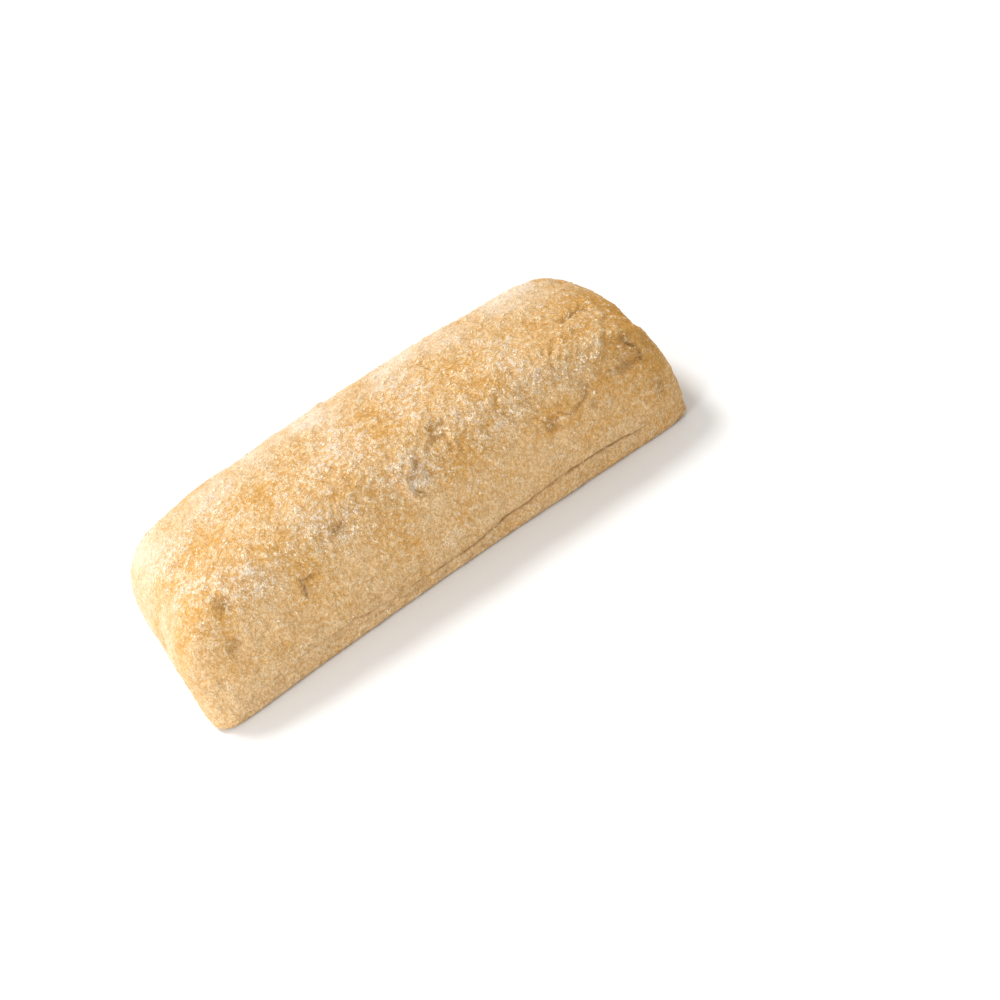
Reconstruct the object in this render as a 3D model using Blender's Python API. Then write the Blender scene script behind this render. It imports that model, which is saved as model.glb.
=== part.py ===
"""Hoagie roll: one floury roll with a domed crust, blunt ends and a flat base, as a single closed solid.

Metres, +Z up. The origin is the middle of the flat base, +X runs along the roll, and -Y is the side whose
long crease is deepest. The form starts as a box cut into loops, is puffed into a dome, and then gets the
crust's relief: creases along both sides, dents, blisters, the pinched seam at one end and soft unevenness.
"""

import math

import bmesh
import bpy
import numpy as np
from mathutils import Vector, noise

MM = 0.001

# Driving dimensions
LENGTH = 190 * MM
WIDTH = 72 * MM
HEIGHT = 48 * MM

# The puffed form: a superquadric, square in plan at the base and domed above it
SQUARENESS_LEFT = 18.8      # of the plan, at the left end
SQUARENESS_RIGHT = 11.8
SIDE_SQUARENESS = 8.6       # of the plan, along the sides
SHOULDER_SOFTNESS = 0.5     # how much rounder the sections are than the plan
CROWN_SQUARENESS = 2.65

# How far the crown falls towards the two ends, as a share of the height, and how it sways between them
FALL_LEFT = 0.20
FALL_RIGHT = 0.012
CROWN_SWAY = (-0.017, 0.007)

# How the sides and ends leave a plain box
WAIST = 2.4 * MM            # the front side is drawn in at mid length
END_LEAN_LEFT = 2.5 * MM    # the ends are fuller half way up than at the foot
END_LEAN_RIGHT = 3.8 * MM
END_SKEW_LEFT = 1.0 * MM    # the ends aren't square to the sides
END_SKEW_RIGHT = 2.6 * MM
CORNER_SPREAD = 2.4 * MM    # the base's corners spread out a little
BASE_RADIUS = 2.2 * MM      # rounding between the walls and the flat base

# The long creases, one on each side, where the crust folded over the foot of the roll
CREASE_HEIGHT = 7.0 * MM
CREASE_RISE = 2.0 * MM
CREASE_WAVE = 105 * MM
CREASE_PEAK_FRONT = 45 * MM
CREASE_PEAK_BACK = -12 * MM
CREASE_FALL_LEFT = 3.0 * MM
CREASE_DEPTH_FRONT = 1.5 * MM
CREASE_DEPTH_BACK = 1.0 * MM
CREASE_HALF_WIDTH = 1.5 * MM
FOLLOW_REACH = 26 * MM      # up to this height the mesh's loops bend with the creases
LIP_SWELL = 0.6 * MM        # the foot below the crease stands a little proud

# The pinched seam, by y and x where it crosses the crown, and how far the cap beyond it sits back
SEAM_LINE = (
    (-31.4, 58.4), (-30.2, 64.4), (-27.8, 69.9), (-25.1, 72.2), (-14.1, 80.2), (-8.3, 81.6), (4, 83), (20, 84),
)
SEAM_STEP = 0.45 * MM
SEAM_HALF_WIDTH = 2.2 * MM

# Dents and blisters that show: place, radius, and height (a dent's is negative)
MARKS = (
    ((10.2, -23, 43), 3.6, -1.1),    # dark dent on the shoulder, mid length
    ((4.7, -9.4, 47), 3.2, -0.6),    # dimples on the crown
    ((-25, -15, 47), 3.0, -0.6),
    ((-73, -27.3, 35), 3.2, -0.9),   # dent on the shoulder near the left end
    ((-77, -32.4, 25), 3.0, -0.8),   # dent on the left corner
    ((-91, -21, 27), 2.2, -0.6),     # pit on the left end
    ((-92, -33, 13), 8.0, -0.9),     # the left corner's flat
    ((44, -31.6, 27.4), 2.8, -1.0),  # upright dent beside the blister
    ((51.5, -32, 32), 5.0, 0.9),     # round blister
    ((-49, -31, 28.5), 3.2, -0.5),   # hollow round the forked crack
    ((-5.5, -28.5, 38), 4.6, 0.6),   # curled ridge on the shoulder
    ((-32, -28.5, 36.6), 3.0, -0.6), # wrinkle on the shoulder
    ((84, -34, 16), 3.0, -0.8),      # hollow beside the flake on the right end's corner
    ((88, -30, 22), 8.0, -0.8),      # the right corner's flat
    ((77, -29.5, 31.5), 4.8, -0.7),  # cracked hollow on the right end
    ((87, 5, 34), 12.0, 1.9),        # swelling on the right end's brow
)
MARK_FALLOFF = 0.7                   # how soft a mark's edge is, as a share of its radius

# Smaller dents and blisters spread over the rest of the crust
SCATTER_SEED = 11
SCATTER_COUNT = 34
SCATTER_RADIUS = (2.4 * MM, 5.0 * MM)
SCATTER_HEIGHT = (-0.8 * MM, 0.7 * MM)

# Soft unevenness: wavelength and height of each layer
SWELLS = (
    (34 * MM, 0.5 * MM, Vector((3.1, 0.7, 5.3))),
    (13 * MM, 0.35 * MM, Vector((8.4, 2.9, 1.6))),
)

PEAK_LIMIT = 0.8 * MM       # swells and scattered marks stand no further out than this

# How finely the box is cut before it is puffed
LENGTH_CUTS = 74
WIDTH_CUTS = 16
WALL_LOOPS = (0.7, 1.6, 2.8, 4.2, 5.4, 6.4, 7.4, 8.6, 10.4, 13, 16.5, 20.5, 25, 29.5, 34, 38.5, 43)  # mm up the wall

CRUST_COLOUR = (0.72, 0.48, 0.22, 1.0)
CRUST_ROUGHNESS = 0.9


def clear_scene():
    for thing in list(bpy.data.objects):
        bpy.data.objects.remove(thing, do_unlink=True)


def cut_box():
    """A closed box from -1 to 1 along the roll and across it and 0 to 1 upwards, cut into loops."""
    box = bmesh.new()
    bmesh.ops.create_cube(box, size=2.0)
    for corner in box.verts:
        corner.co.z = max(corner.co.z, 0.0)
    cuts = [((2 * n / LENGTH_CUTS - 1, 0, 0), (1, 0, 0)) for n in range(1, LENGTH_CUTS)]
    cuts += [((0, 2 * n / WIDTH_CUTS - 1, 0), (0, 1, 0)) for n in range(1, WIDTH_CUTS)]
    cuts += [((0, 0, height * MM / HEIGHT), (0, 0, 1)) for height in WALL_LOOPS]
    for place, normal in cuts:
        everything = box.verts[:] + box.edges[:] + box.faces[:]
        bmesh.ops.bisect_plane(box, geom=everything, plane_co=place, plane_no=normal)
    base = [face for face in box.faces if face.calc_center_median().z < 1e-6]
    bmesh.ops.dissolve_faces(box, faces=base)
    return box


def smooth_step(value, low, high):
    share = np.clip((value - low) / (high - low), 0.0, 1.0)
    return share * share * (3 - 2 * share)


def crease_height(x, peak):
    """How high above the base a crease runs: a slow wave that falls to the left end's corner."""
    wave = CREASE_RISE * np.cos(2 * math.pi * (x - peak) / CREASE_WAVE)
    fall = CREASE_FALL_LEFT * np.clip(-2 * x / LENGTH, 0, 1) ** 3
    return CREASE_HEIGHT + wave - fall


def follow_creases(box):
    """Shifts the box's wall loops up and down, so that they run along the creases and meet them squarely."""
    x = box[:, 0] * LENGTH / 2
    height = box[:, 2] * HEIGHT
    front = smooth_step(-box[:, 1], -0.4, 0.4)
    rise = front * crease_height(x, CREASE_PEAK_FRONT) + (1 - front) * crease_height(x, CREASE_PEAK_BACK)
    share = np.minimum(height / CREASE_HEIGHT, 1 - smooth_step(height, CREASE_HEIGHT, FOLLOW_REACH))
    followed = box.copy()
    followed[:, 2] = (height + share * (rise - CREASE_HEIGHT)) / HEIGHT
    return followed


def puff(box):
    """Draws each point of the box in to where (|u|^p + |v|^q)^s + |w|^m = 1, which is a blunt-ended dome."""
    size = np.abs(box)
    end_squareness = np.where(box[:, 0] < 0, SQUARENESS_LEFT, SQUARENESS_RIGHT)
    low = np.zeros(len(box))
    high = np.ones(len(box))
    for _ in range(40):
        share = (low + high) / 2
        plan = (size[:, 0] * share) ** end_squareness + (size[:, 1] * share) ** SIDE_SQUARENESS
        fill = plan**SHOULDER_SOFTNESS + (size[:, 2] * share) ** CROWN_SQUARENESS
        low = np.where(fill < 1, share, low)
        high = np.where(fill < 1, high, share)
    return box * ((low + high) / 2)[:, None]


def loaf(unit):
    """The puffed form at real size, with its crown's fall, its waist and its leaning ends."""
    u, v, w = unit.T
    left = np.clip(-u, 0, 1)
    right = np.clip(u, 0, 1)
    sway = CROWN_SWAY[0] * np.sin(math.pi * u) + CROWN_SWAY[1] * np.sin(2 * math.pi * u)
    crown = 1 - FALL_LEFT * left**2 - FALL_RIGHT * right**2 + sway
    height = w * HEIGHT * crown
    short_of_radius = np.clip(BASE_RADIUS - height, 0, BASE_RADIUS)
    tuck = BASE_RADIUS - np.sqrt(BASE_RADIUS**2 - short_of_radius**2)
    lean = END_LEAN_RIGHT * right**4 * w - END_LEAN_LEFT * left**4 * w
    skew = (END_SKEW_RIGHT * right**4 + END_SKEW_LEFT * left**4) * v
    draw_in = WAIST * np.cos(math.pi * u / 2) * np.clip(-v, 0, 1) ** 2
    spread = CORNER_SPREAD * np.abs(u) ** 8 * np.abs(v) ** 6 * (1 - w) ** 3
    x = u * (LENGTH / 2 - tuck) + lean + skew + spread * np.sign(u)
    y = v * (WIDTH / 2 - tuck) + draw_in + spread * np.sign(v)
    return np.stack([x, y, height], axis=1)


def crease_relief(points, peak, depth, reach):
    """A groove along the crease, with the foot below it swelling out."""
    x, _, z = points.T
    above = z - crease_height(x, peak)
    strength = smooth_step(x, reach[0], reach[0] + 25 * MM) * (1 - smooth_step(x, reach[1] - 12 * MM, reach[1]))
    groove = -depth * np.exp(-((above / CREASE_HALF_WIDTH) ** 2))
    lip = LIP_SWELL * np.exp(-(((above + 3.2 * MM) / (2.4 * MM)) ** 2))
    return strength * (groove + lip)


def seam_relief(points):
    """The right end's cap sits back from the crown behind a soft slanted seam."""
    x, y, z = points.T
    seam_y, seam_x = np.array(SEAM_LINE).T * MM
    across = 0.75 * (x - np.interp(y, seam_y, seam_x))
    high_up = smooth_step(z, 26 * MM, 35 * MM)
    return -SEAM_STEP * high_up * smooth_step(across, -SEAM_HALF_WIDTH, SEAM_HALF_WIDTH)


def mark_relief(points, centre, radius, height):
    """One dent or blister: a plateau with a soft edge."""
    distance = np.linalg.norm(points - centre, axis=1) / radius
    return height * (1 - smooth_step(distance, 1 - MARK_FALLOFF, 1 + MARK_FALLOFF))


def scattered_marks(points):
    """Places, radii and heights of the small marks over the crust, drawn from one seed."""
    draw = np.random.default_rng(SCATTER_SEED)
    chosen = draw.choice(len(points), SCATTER_COUNT, replace=False)
    radii = draw.uniform(*SCATTER_RADIUS, SCATTER_COUNT)
    heights = draw.uniform(*SCATTER_HEIGHT, SCATTER_COUNT)
    return zip(points[chosen], radii, heights)


def swell_relief(points):
    total = np.zeros(len(points))
    for wavelength, height, offset in SWELLS:
        total += [height * noise.noise(Vector(point) / wavelength + offset) for point in points]
    return total


def crust_relief(points):
    """How far the crust stands out of or sinks into the plain form at each point."""
    front = points[:, 1] < 0
    creases = np.where(
        front,
        crease_relief(points, CREASE_PEAK_FRONT, CREASE_DEPTH_FRONT, (-96 * MM, 72 * MM)),
        crease_relief(points, CREASE_PEAK_BACK, CREASE_DEPTH_BACK, (-80 * MM, 88 * MM)),
    )
    wall = points[points[:, 2] > CREASE_HEIGHT]
    uneven = seam_relief(points) + swell_relief(points)
    for centre, radius, height in scattered_marks(wall):
        uneven += mark_relief(points, centre, radius, height)
    relief = creases + np.minimum(uneven, PEAK_LIMIT * np.tanh(uneven / PEAK_LIMIT))
    for place, radius, height in MARKS:
        relief += mark_relief(points, np.array(place) * MM, radius * MM, height * MM)
    return relief * smooth_step(points[:, 2], 0, BASE_RADIUS)


def fit_to_size(points):
    """Scales the finished crust, so that it measures LENGTH by WIDTH by HEIGHT and stands centred on the origin."""
    low = points.min(axis=0)
    high = points.max(axis=0)
    middle = (low + high) / 2
    middle[2] = 0.0
    return (points - middle) * np.array([LENGTH, WIDTH, HEIGHT]) / (high - low)


def place_points(mesh, points):
    for vertex, point in zip(mesh.verts, points):
        vertex.co = point
    mesh.normal_update()


def build_crust():
    crust = cut_box()
    box = np.array([vertex.co for vertex in crust.verts])
    on_base = box[:, 2] < 1e-6
    form = loaf(puff(follow_creases(box)))
    place_points(crust, form)
    outward = np.array([vertex.normal for vertex in crust.verts])
    points = form + outward * crust_relief(form)[:, None]
    points[on_base, 2] = 0.0
    place_points(crust, fit_to_size(points))
    return crust


def crust_material():
    material = bpy.data.materials.new("floury_crust")
    material.use_nodes = True
    shader = material.node_tree.nodes["Principled BSDF"]
    shader.inputs["Base Color"].default_value = CRUST_COLOUR
    shader.inputs["Roughness"].default_value = CRUST_ROUGHNESS
    shader.inputs["Metallic"].default_value = 0.0
    return material


def main():
    clear_scene()
    collection = bpy.data.collections.new("hoagie_roll")
    bpy.context.scene.collection.children.link(collection)
    crust = build_crust()
    mesh = bpy.data.meshes.new("hoagie_roll")
    crust.to_mesh(mesh)
    crust.free()
    mesh.shade_smooth()
    mesh.materials.append(crust_material())
    collection.objects.link(bpy.data.objects.new("hoagie_roll", mesh))


main()
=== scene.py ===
# %% [markdown]
# # A floury hoagie roll
# This lesson dresses one bread roll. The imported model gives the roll's size, its place and its plain form.
# The cells below build a finer crust over that form, dust it with flour, light it and set the camera.
# All lengths are metres unless a name says otherwise, and MM turns millimetres into metres.

# %% Load the frame and measure it
import math

import bmesh
import bpy
import numpy as np
from mathutils import Matrix, Vector, noise


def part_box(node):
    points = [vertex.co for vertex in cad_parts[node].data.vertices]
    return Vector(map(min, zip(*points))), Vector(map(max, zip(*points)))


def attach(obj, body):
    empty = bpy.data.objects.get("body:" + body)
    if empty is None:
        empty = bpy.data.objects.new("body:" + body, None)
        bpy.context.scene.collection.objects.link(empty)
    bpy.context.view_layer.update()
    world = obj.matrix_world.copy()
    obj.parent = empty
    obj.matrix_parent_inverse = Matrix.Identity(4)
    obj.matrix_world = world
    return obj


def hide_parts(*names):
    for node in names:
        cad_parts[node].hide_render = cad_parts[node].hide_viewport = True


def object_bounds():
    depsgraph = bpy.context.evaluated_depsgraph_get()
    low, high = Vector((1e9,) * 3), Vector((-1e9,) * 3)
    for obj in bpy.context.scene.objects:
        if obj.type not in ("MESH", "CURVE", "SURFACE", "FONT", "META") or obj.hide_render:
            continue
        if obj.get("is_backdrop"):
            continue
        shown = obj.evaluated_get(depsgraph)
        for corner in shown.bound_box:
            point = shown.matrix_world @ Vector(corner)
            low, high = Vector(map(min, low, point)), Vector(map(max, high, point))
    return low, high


MM = 0.001
ROLL = "hoagie_roll"

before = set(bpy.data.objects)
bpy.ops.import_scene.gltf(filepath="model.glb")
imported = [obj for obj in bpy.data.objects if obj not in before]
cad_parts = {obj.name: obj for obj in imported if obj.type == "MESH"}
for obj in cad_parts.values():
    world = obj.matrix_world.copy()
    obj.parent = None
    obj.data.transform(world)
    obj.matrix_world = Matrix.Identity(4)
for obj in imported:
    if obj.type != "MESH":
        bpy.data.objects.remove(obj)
cad_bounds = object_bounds()
roll_low, roll_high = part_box(ROLL)
LENGTH, WIDTH, HEIGHT = roll_high - roll_low
print(f"the roll measures {LENGTH / MM:.1f} x {WIDTH / MM:.1f} x {HEIGHT / MM:.1f} mm")

# %% [markdown]
# ## The camera
# The roll is seen from above its front left corner, with a normal lens. It lies flat here, so the camera
# itself is rolled, which makes the roll climb to the right. The place and the point aimed at are sizes
# in the roll's own frame, so they can be read as "half a metre away, a little to the left".

# %% Aim the camera
CAMERA_PLACE = Vector((-89.8, -359.8, 282.6)) * MM
CAMERA_AIM = Vector((20.6, -18.7, 2.5)) * MM
CAMERA_ROLL = math.radians(-22.84)
LENS_MM = 50
SENSOR_MM = 36


def put_in_scene(name, data):
    """An object of that mesh, lamp or camera, put in the scene."""
    thing = bpy.data.objects.new(name, data)
    bpy.context.scene.collection.objects.link(thing)
    return thing


camera_data = bpy.data.cameras.new("product_camera")
camera_data.lens = LENS_MM
camera_data.sensor_width = SENSOR_MM
camera_data.clip_start = 10 * MM
camera = put_in_scene("product_camera", camera_data)
facing = (CAMERA_AIM - CAMERA_PLACE).to_track_quat("-Z", "Y").to_matrix().to_4x4()
camera.matrix_world = Matrix.Translation(CAMERA_PLACE) @ facing @ Matrix.Rotation(CAMERA_ROLL, 4, "Z")
bpy.context.scene.camera = camera
print(f"the camera stands {(CAMERA_PLACE - CAMERA_AIM).length:.2f} m from the roll")

# %% [markdown]
# ## Helpers for materials
# A material is a small graph of nodes. Four helpers keep each graph readable. They add a node and set its
# values, mix two colours by a mask, stretch a value from one range to another, and do a sum.

# %% Node helpers
def add_node(tree, kind, inputs=None, **settings):
    """A node of that kind in the tree. A socket in inputs is linked, and a plain value is set."""
    node = tree.nodes.new(kind)
    for name, value in settings.items():
        setattr(node, name, value)
    for name, value in (inputs or {}).items():
        if isinstance(value, bpy.types.NodeSocket):
            tree.links.new(value, node.inputs[name])
        else:
            node.inputs[name].default_value = value
    return node


def mix_colours(tree, mask, first, second):
    """The first colour where the mask is 0, and the second where it is 1."""
    mix = add_node(tree, "ShaderNodeMix", {0: mask, 6: first, 7: second}, data_type="RGBA")
    return mix.outputs[2]


def scaled_range(tree, value, low, high, to_low=0.0, to_high=1.0):
    """The value stretched from one range to another, and held inside it."""
    stretch = add_node(
        tree, "ShaderNodeMapRange",
        {"Value": value, "From Min": low, "From Max": high, "To Min": to_low, "To Max": to_high},
        interpolation_type="SMOOTHSTEP",
    )
    return stretch.outputs[0]


def calculate(tree, operation, first, second):
    """The result of a sum, such as ADD or MULTIPLY, on two values."""
    sum_node = add_node(tree, "ShaderNodeMath", {0: first, 1: second}, operation=operation)
    return sum_node.outputs[0]


print("four node helpers are ready")

# %% [markdown]
# ## The studio
# The roll stands on a pale floor that is large enough to fill the picture. A white world gives soft light
# from everywhere. A broad key lamp, high behind the roll, makes the crown glow and leaves the front side in
# an even half shade. A smaller fill lamp at the left brightens that end and its corner.

# %% Lay the floor
FLOOR_SIZE = 8.0
FLOOR_COLOUR = (0.80, 0.81, 0.83, 1)

floor_mesh = bpy.data.meshes.new("studio_floor")
floor_form = bmesh.new()
bmesh.ops.create_grid(floor_form, x_segments=8, y_segments=8, size=FLOOR_SIZE / 2)
floor_form.to_mesh(floor_mesh)
floor_form.free()
floor = put_in_scene("studio_floor", floor_mesh)
floor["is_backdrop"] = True


def new_material(name, mesh, shine, roughness=0.5):
    """The shader of a new material on the mesh, with the finish that is the same all over."""
    material = bpy.data.materials.new(name)
    material.use_nodes = True
    mesh.materials.append(material)
    shader = material.node_tree.nodes["Principled BSDF"]
    shader.inputs["Specular IOR Level"].default_value = shine
    shader.inputs["Roughness"].default_value = roughness
    return shader


shader = new_material("pale_floor", floor_mesh, 0.1, 0.9)
shader.inputs["Base Color"].default_value = FLOOR_COLOUR
print(f"the floor is {FLOOR_SIZE:.0f} m square")

# %% Light it softly
WORLD_STRENGTH = 0.785
WORLD_COLOUR = (1.0, 0.97, 0.915)
LAMP_COLOUR = (1.0, 0.995, 0.98)
LAMPS = (
    # name, place in metres from the middle of the roll's base, size, watts
    ("key_lamp", (-0.30, 0.84, 1.34), 0.5, 20),
    ("fill_lamp", (-0.60, -0.24, 0.22), 0.3, 2.45),
)

world = bpy.data.worlds.new("white_studio")
world.use_nodes = True
sky = world.node_tree.nodes["Background"]
sky.inputs["Color"].default_value = (*WORLD_COLOUR, 1)
sky.inputs["Strength"].default_value = WORLD_STRENGTH
bpy.context.scene.world = world


def soft_lamp(name, place, size, watts):
    """A round soft lamp at that place, turned to the middle of the roll's base."""
    lamp_data = bpy.data.lights.new(name, "AREA")
    lamp_data.shape = "DISK"
    lamp_data.size = size
    lamp_data.energy = watts
    lamp_data.color = LAMP_COLOUR
    lamp = put_in_scene(name, lamp_data)
    lamp.location = place
    lamp.rotation_euler = Vector(place).to_track_quat("Z", "Y").to_euler()


for name, place, size, watts in LAMPS:
    soft_lamp(name, place, size, watts)
bpy.context.scene.view_settings.view_transform = "Standard"

# %% [markdown]
# ## The crust's form
# The roll was shaped as a blunt log and puffed up in the oven, so its form is a box that is puffed into a
# dome. A sphere or a cylinder would put its points in the wrong places. A box cage is cut into loops, a
# simple subdivision makes it fine but leaves it square, and a formula moves every point to the puffed form.
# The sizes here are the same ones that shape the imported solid, so that the crust lies on it.

# %% Cut the cage
LENGTH_CUTS = 85
WIDTH_CUTS = 20
WALL_LOOPS_MM = (           # heights of the loops, closest round the creases
    0.7, 1.8, 3.2, 4.6, 5.6, 6.4, 7.2, 8.4, 10.4, 13, 16, 19.2, 22.4, 25.6, 28.8, 32, 35.2, 38.6, 42.4,
)


def cut_cage():
    """A closed box from -1 to 1 along and across and 0 to 1 upwards, cut into loops."""
    box = bmesh.new()
    bmesh.ops.create_cube(box, size=2.0)
    for corner in box.verts:
        corner.co.z = max(corner.co.z, 0.0)
    cuts = [((2 * number / LENGTH_CUTS - 1, 0, 0), (1, 0, 0)) for number in range(1, LENGTH_CUTS)]
    cuts += [((0, 2 * number / WIDTH_CUTS - 1, 0), (0, 1, 0)) for number in range(1, WIDTH_CUTS)]
    cuts += [((0, 0, height * MM / HEIGHT), (0, 0, 1)) for height in WALL_LOOPS_MM]
    for place, normal in cuts:
        everything = box.verts[:] + box.edges[:] + box.faces[:]
        bmesh.ops.bisect_plane(box, geom=everything, plane_co=place, plane_no=normal)
    base = [face for face in box.faces if face.calc_center_median().z == 0]
    bmesh.ops.dissolve_faces(box, faces=base)
    return box


cage = cut_cage()
cage_mesh = bpy.data.meshes.new("crust_cage")
cage.to_mesh(cage_mesh)
cage.free()
print(f"the cage has {len(cage_mesh.polygons)} faces")

# %% Make the cage fine
CAGE_SUBDIVISIONS = 2


def read_list(things, name, width=1, kind=float):
    """One fact of each of a mesh's points, corners or faces, with a row for each where it is wide."""
    values = np.empty(len(things) * width, kind)
    things.foreach_get(name, values)
    return values.reshape(-1, width) if width > 1 else values


cage_object = put_in_scene("crust_cage", cage_mesh)
refine = cage_object.modifiers.new("refine", "SUBSURF")
refine.subdivision_type = "SIMPLE"
refine.levels = refine.render_levels = CAGE_SUBDIVISIONS
refined_cage = cage_object.evaluated_get(bpy.context.evaluated_depsgraph_get())
crust_mesh = bpy.data.meshes.new_from_object(refined_cage)
crust_mesh.name = "crust"
bpy.data.objects.remove(cage_object)
crust = put_in_scene("crust", crust_mesh)
box_points = read_list(crust_mesh.vertices, "co", 3)
print(f"the crust has {len(box_points)} points and {len(crust_mesh.polygons)} faces")

# %% Puff the box up
SQUARENESS_LEFT = 18.8      # of the plan, at the left end
SQUARENESS_RIGHT = 11.8
SIDE_SQUARENESS = 8.6       # of the plan, along the sides
SHOULDER_SOFTNESS = 0.5     # how much rounder the sections are than the plan
CROWN_SQUARENESS = 2.65
HALVINGS = 40               # steps of the search for the dome's surface


def smooth_step(value, low, high):
    """0 up to the low value, 1 from the high value on, and a soft slope between them."""
    share = np.clip((value - low) / (high - low), 0.0, 1.0)
    return share * share * (3 - 2 * share)


def puff(box):
    """Draws each point of the box in to a dome, where (length^p + width^q)^s + height^r is 1."""
    size = np.abs(box)
    end_squareness = np.where(box[:, 0] < 0, SQUARENESS_LEFT, SQUARENESS_RIGHT)
    low = np.zeros(len(box))
    high = np.ones(len(box))
    for _ in range(HALVINGS):
        share = (low + high) / 2
        plan = (size[:, 0] * share) ** end_squareness + (size[:, 1] * share) ** SIDE_SQUARENESS
        fill = plan**SHOULDER_SOFTNESS + (size[:, 2] * share) ** CROWN_SQUARENESS
        low = np.where(fill < 1, share, low)
        high = np.where(fill < 1, high, share)
    return box * ((low + high) / 2)[:, None]


puffed_corner = puff(np.array([[1.0, -1.0, 1.0]]))[0]
print("the box's front right corner is drawn in to", puffed_corner.round(2))

# %% Give it the roll's own shape
FALL_LEFT = 0.20            # how far the crown falls to each end, as a share of the height
FALL_RIGHT = 0.012
CROWN_SWAY = (-0.017, 0.007)
WAIST = 2.4 * MM            # the front side is drawn in at mid length
END_LEAN_LEFT = 2.5 * MM    # the ends are fuller half way up than at the foot
END_LEAN_RIGHT = 3.8 * MM
END_SKEW_LEFT = 1.0 * MM    # the ends aren't square to the sides
END_SKEW_RIGHT = 2.6 * MM
CORNER_SPREAD = 2.4 * MM    # the base's corners spread out a little
BASE_RADIUS = 2.2 * MM


def loaf(unit):
    """The puffed form at real size, with its crown's fall, its waist and its leaning ends."""
    lengthwise, across, upward = unit.T
    left = np.clip(-lengthwise, 0, 1)
    right = np.clip(lengthwise, 0, 1)
    sway = CROWN_SWAY[0] * np.sin(math.pi * lengthwise) + CROWN_SWAY[1] * np.sin(2 * math.pi * lengthwise)
    crown = 1 - FALL_LEFT * left**2 - FALL_RIGHT * right**2 + sway
    height = upward * HEIGHT * crown
    short_of_radius = np.clip(BASE_RADIUS - height, 0, BASE_RADIUS)
    tuck = BASE_RADIUS - np.sqrt(BASE_RADIUS**2 - short_of_radius**2)
    lean = END_LEAN_RIGHT * right**4 * upward - END_LEAN_LEFT * left**4 * upward
    skew = (END_SKEW_RIGHT * right**4 + END_SKEW_LEFT * left**4) * across
    draw_in = WAIST * np.cos(math.pi * lengthwise / 2) * np.clip(-across, 0, 1) ** 2
    spread = CORNER_SPREAD * np.abs(lengthwise) ** 8 * np.abs(across) ** 6 * (1 - upward) ** 3
    x = lengthwise * (LENGTH / 2 - tuck) + lean + skew + spread * np.sign(lengthwise)
    y = across * (WIDTH / 2 - tuck) + draw_in + spread * np.sign(across)
    return np.stack([x, y, height], axis=1)


print(f"the crown falls {FALL_LEFT * HEIGHT / MM:.1f} mm to the left end")

# %% Run the loops along the creases
CREASE_HEIGHT = 7.0 * MM
CREASE_RISE = 2.0 * MM      # the crease climbs and falls this much in a slow wave
CREASE_WAVE = 105 * MM
CREASE_PEAK_FRONT = 45 * MM
CREASE_PEAK_BACK = -12 * MM
CREASE_FALL_LEFT = 3.0 * MM
FOLLOW_REACH = 26 * MM      # loops higher than this keep level


def crease_height(x, peak):
    """How high above the base a crease runs: a slow wave that falls to the left end's corner."""
    wave = CREASE_RISE * np.cos(2 * math.pi * (x - peak) / CREASE_WAVE)
    fall = CREASE_FALL_LEFT * np.clip(-2 * x / LENGTH, 0, 1) ** 3
    return CREASE_HEIGHT + wave - fall


def follow_creases(box):
    """Shifts the wall's loops up and down, so that they run along the creases."""
    x = box[:, 0] * LENGTH / 2
    height = box[:, 2] * HEIGHT
    front = smooth_step(-box[:, 1], -0.4, 0.4)
    rise = front * crease_height(x, CREASE_PEAK_FRONT) + (1 - front) * crease_height(x, CREASE_PEAK_BACK)
    share = np.minimum(height / CREASE_HEIGHT, 1 - smooth_step(height, CREASE_HEIGHT, FOLLOW_REACH))
    followed = box.copy()
    followed[:, 2] = (height + share * (rise - CREASE_HEIGHT)) / HEIGHT
    return followed


def write_points(mesh, points):
    """Moves the mesh's points to these places."""
    mesh.vertices.foreach_set("co", points.ravel())
    mesh.update()


form = loaf(puff(follow_creases(box_points)))
write_points(crust_mesh, form)
outward = read_list(crust_mesh.vertex_normals, "vector", 3)
print("puffed to", (np.ptp(form, axis=0) / MM).round(1), "mm")

# %% [markdown]
# ## Relief, from large to small
# A crust is read at several scales at once: swells as wide as a thumb, lumps like lentils, pebbles with
# small folds between them, and a sandy grain. It could be sculpted by hand, or pushed out by a displace
# modifier. Here each layer is a list that says how far the crust stands out at each point, because the
# flour can then be laid by the same lumps. The sum is applied once, along the surface's own direction. The
# front crown is the roughest. The left end and the far edge are smoother, and the walls are nearly plain.

# %% Noise at any scale
def rolling(points, wavelength, offset):
    """Smooth noise from about -1 to 1. The wavelength is its lumps' width, and the offset its pattern."""
    shift = Vector(offset)
    return np.array([noise.noise(Vector(point) / wavelength + shift) for point in points])


def cells(points, wavelength, offset):
    """The distance to the nearest of many scattered centres: 0 at a centre, about 1 between them."""
    shift = Vector(offset)
    return np.array([noise.voronoi(Vector(point) / wavelength + shift)[0][0] for point in points])


point_gap = LENGTH / LENGTH_CUTS / 2**CAGE_SUBDIVISIONS
print(f"the crust's points lie {point_gap / MM:.2f} mm apart, so noise finer than that is left to the bump")

# %% Soft swells
SWELLS = (                  # height, wavelength, and the noise's offset
    (0.5 * MM, 34 * MM, (3.1, 0.7, 5.3)),
    (0.38 * MM, 13 * MM, (8.4, 2.9, 1.6)),
)

swells = sum(height * rolling(form, wavelength, offset) for height, wavelength, offset in SWELLS)
print(f"swells reach {np.abs(swells).max() / MM:.2f} mm")

# %% Where the crust is rough
ROUGHNESS_WIDTH = 22 * MM   # of the patches that are rougher than others
ROUGHNESS_LIMITS = (0.20, 1.25)

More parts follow.
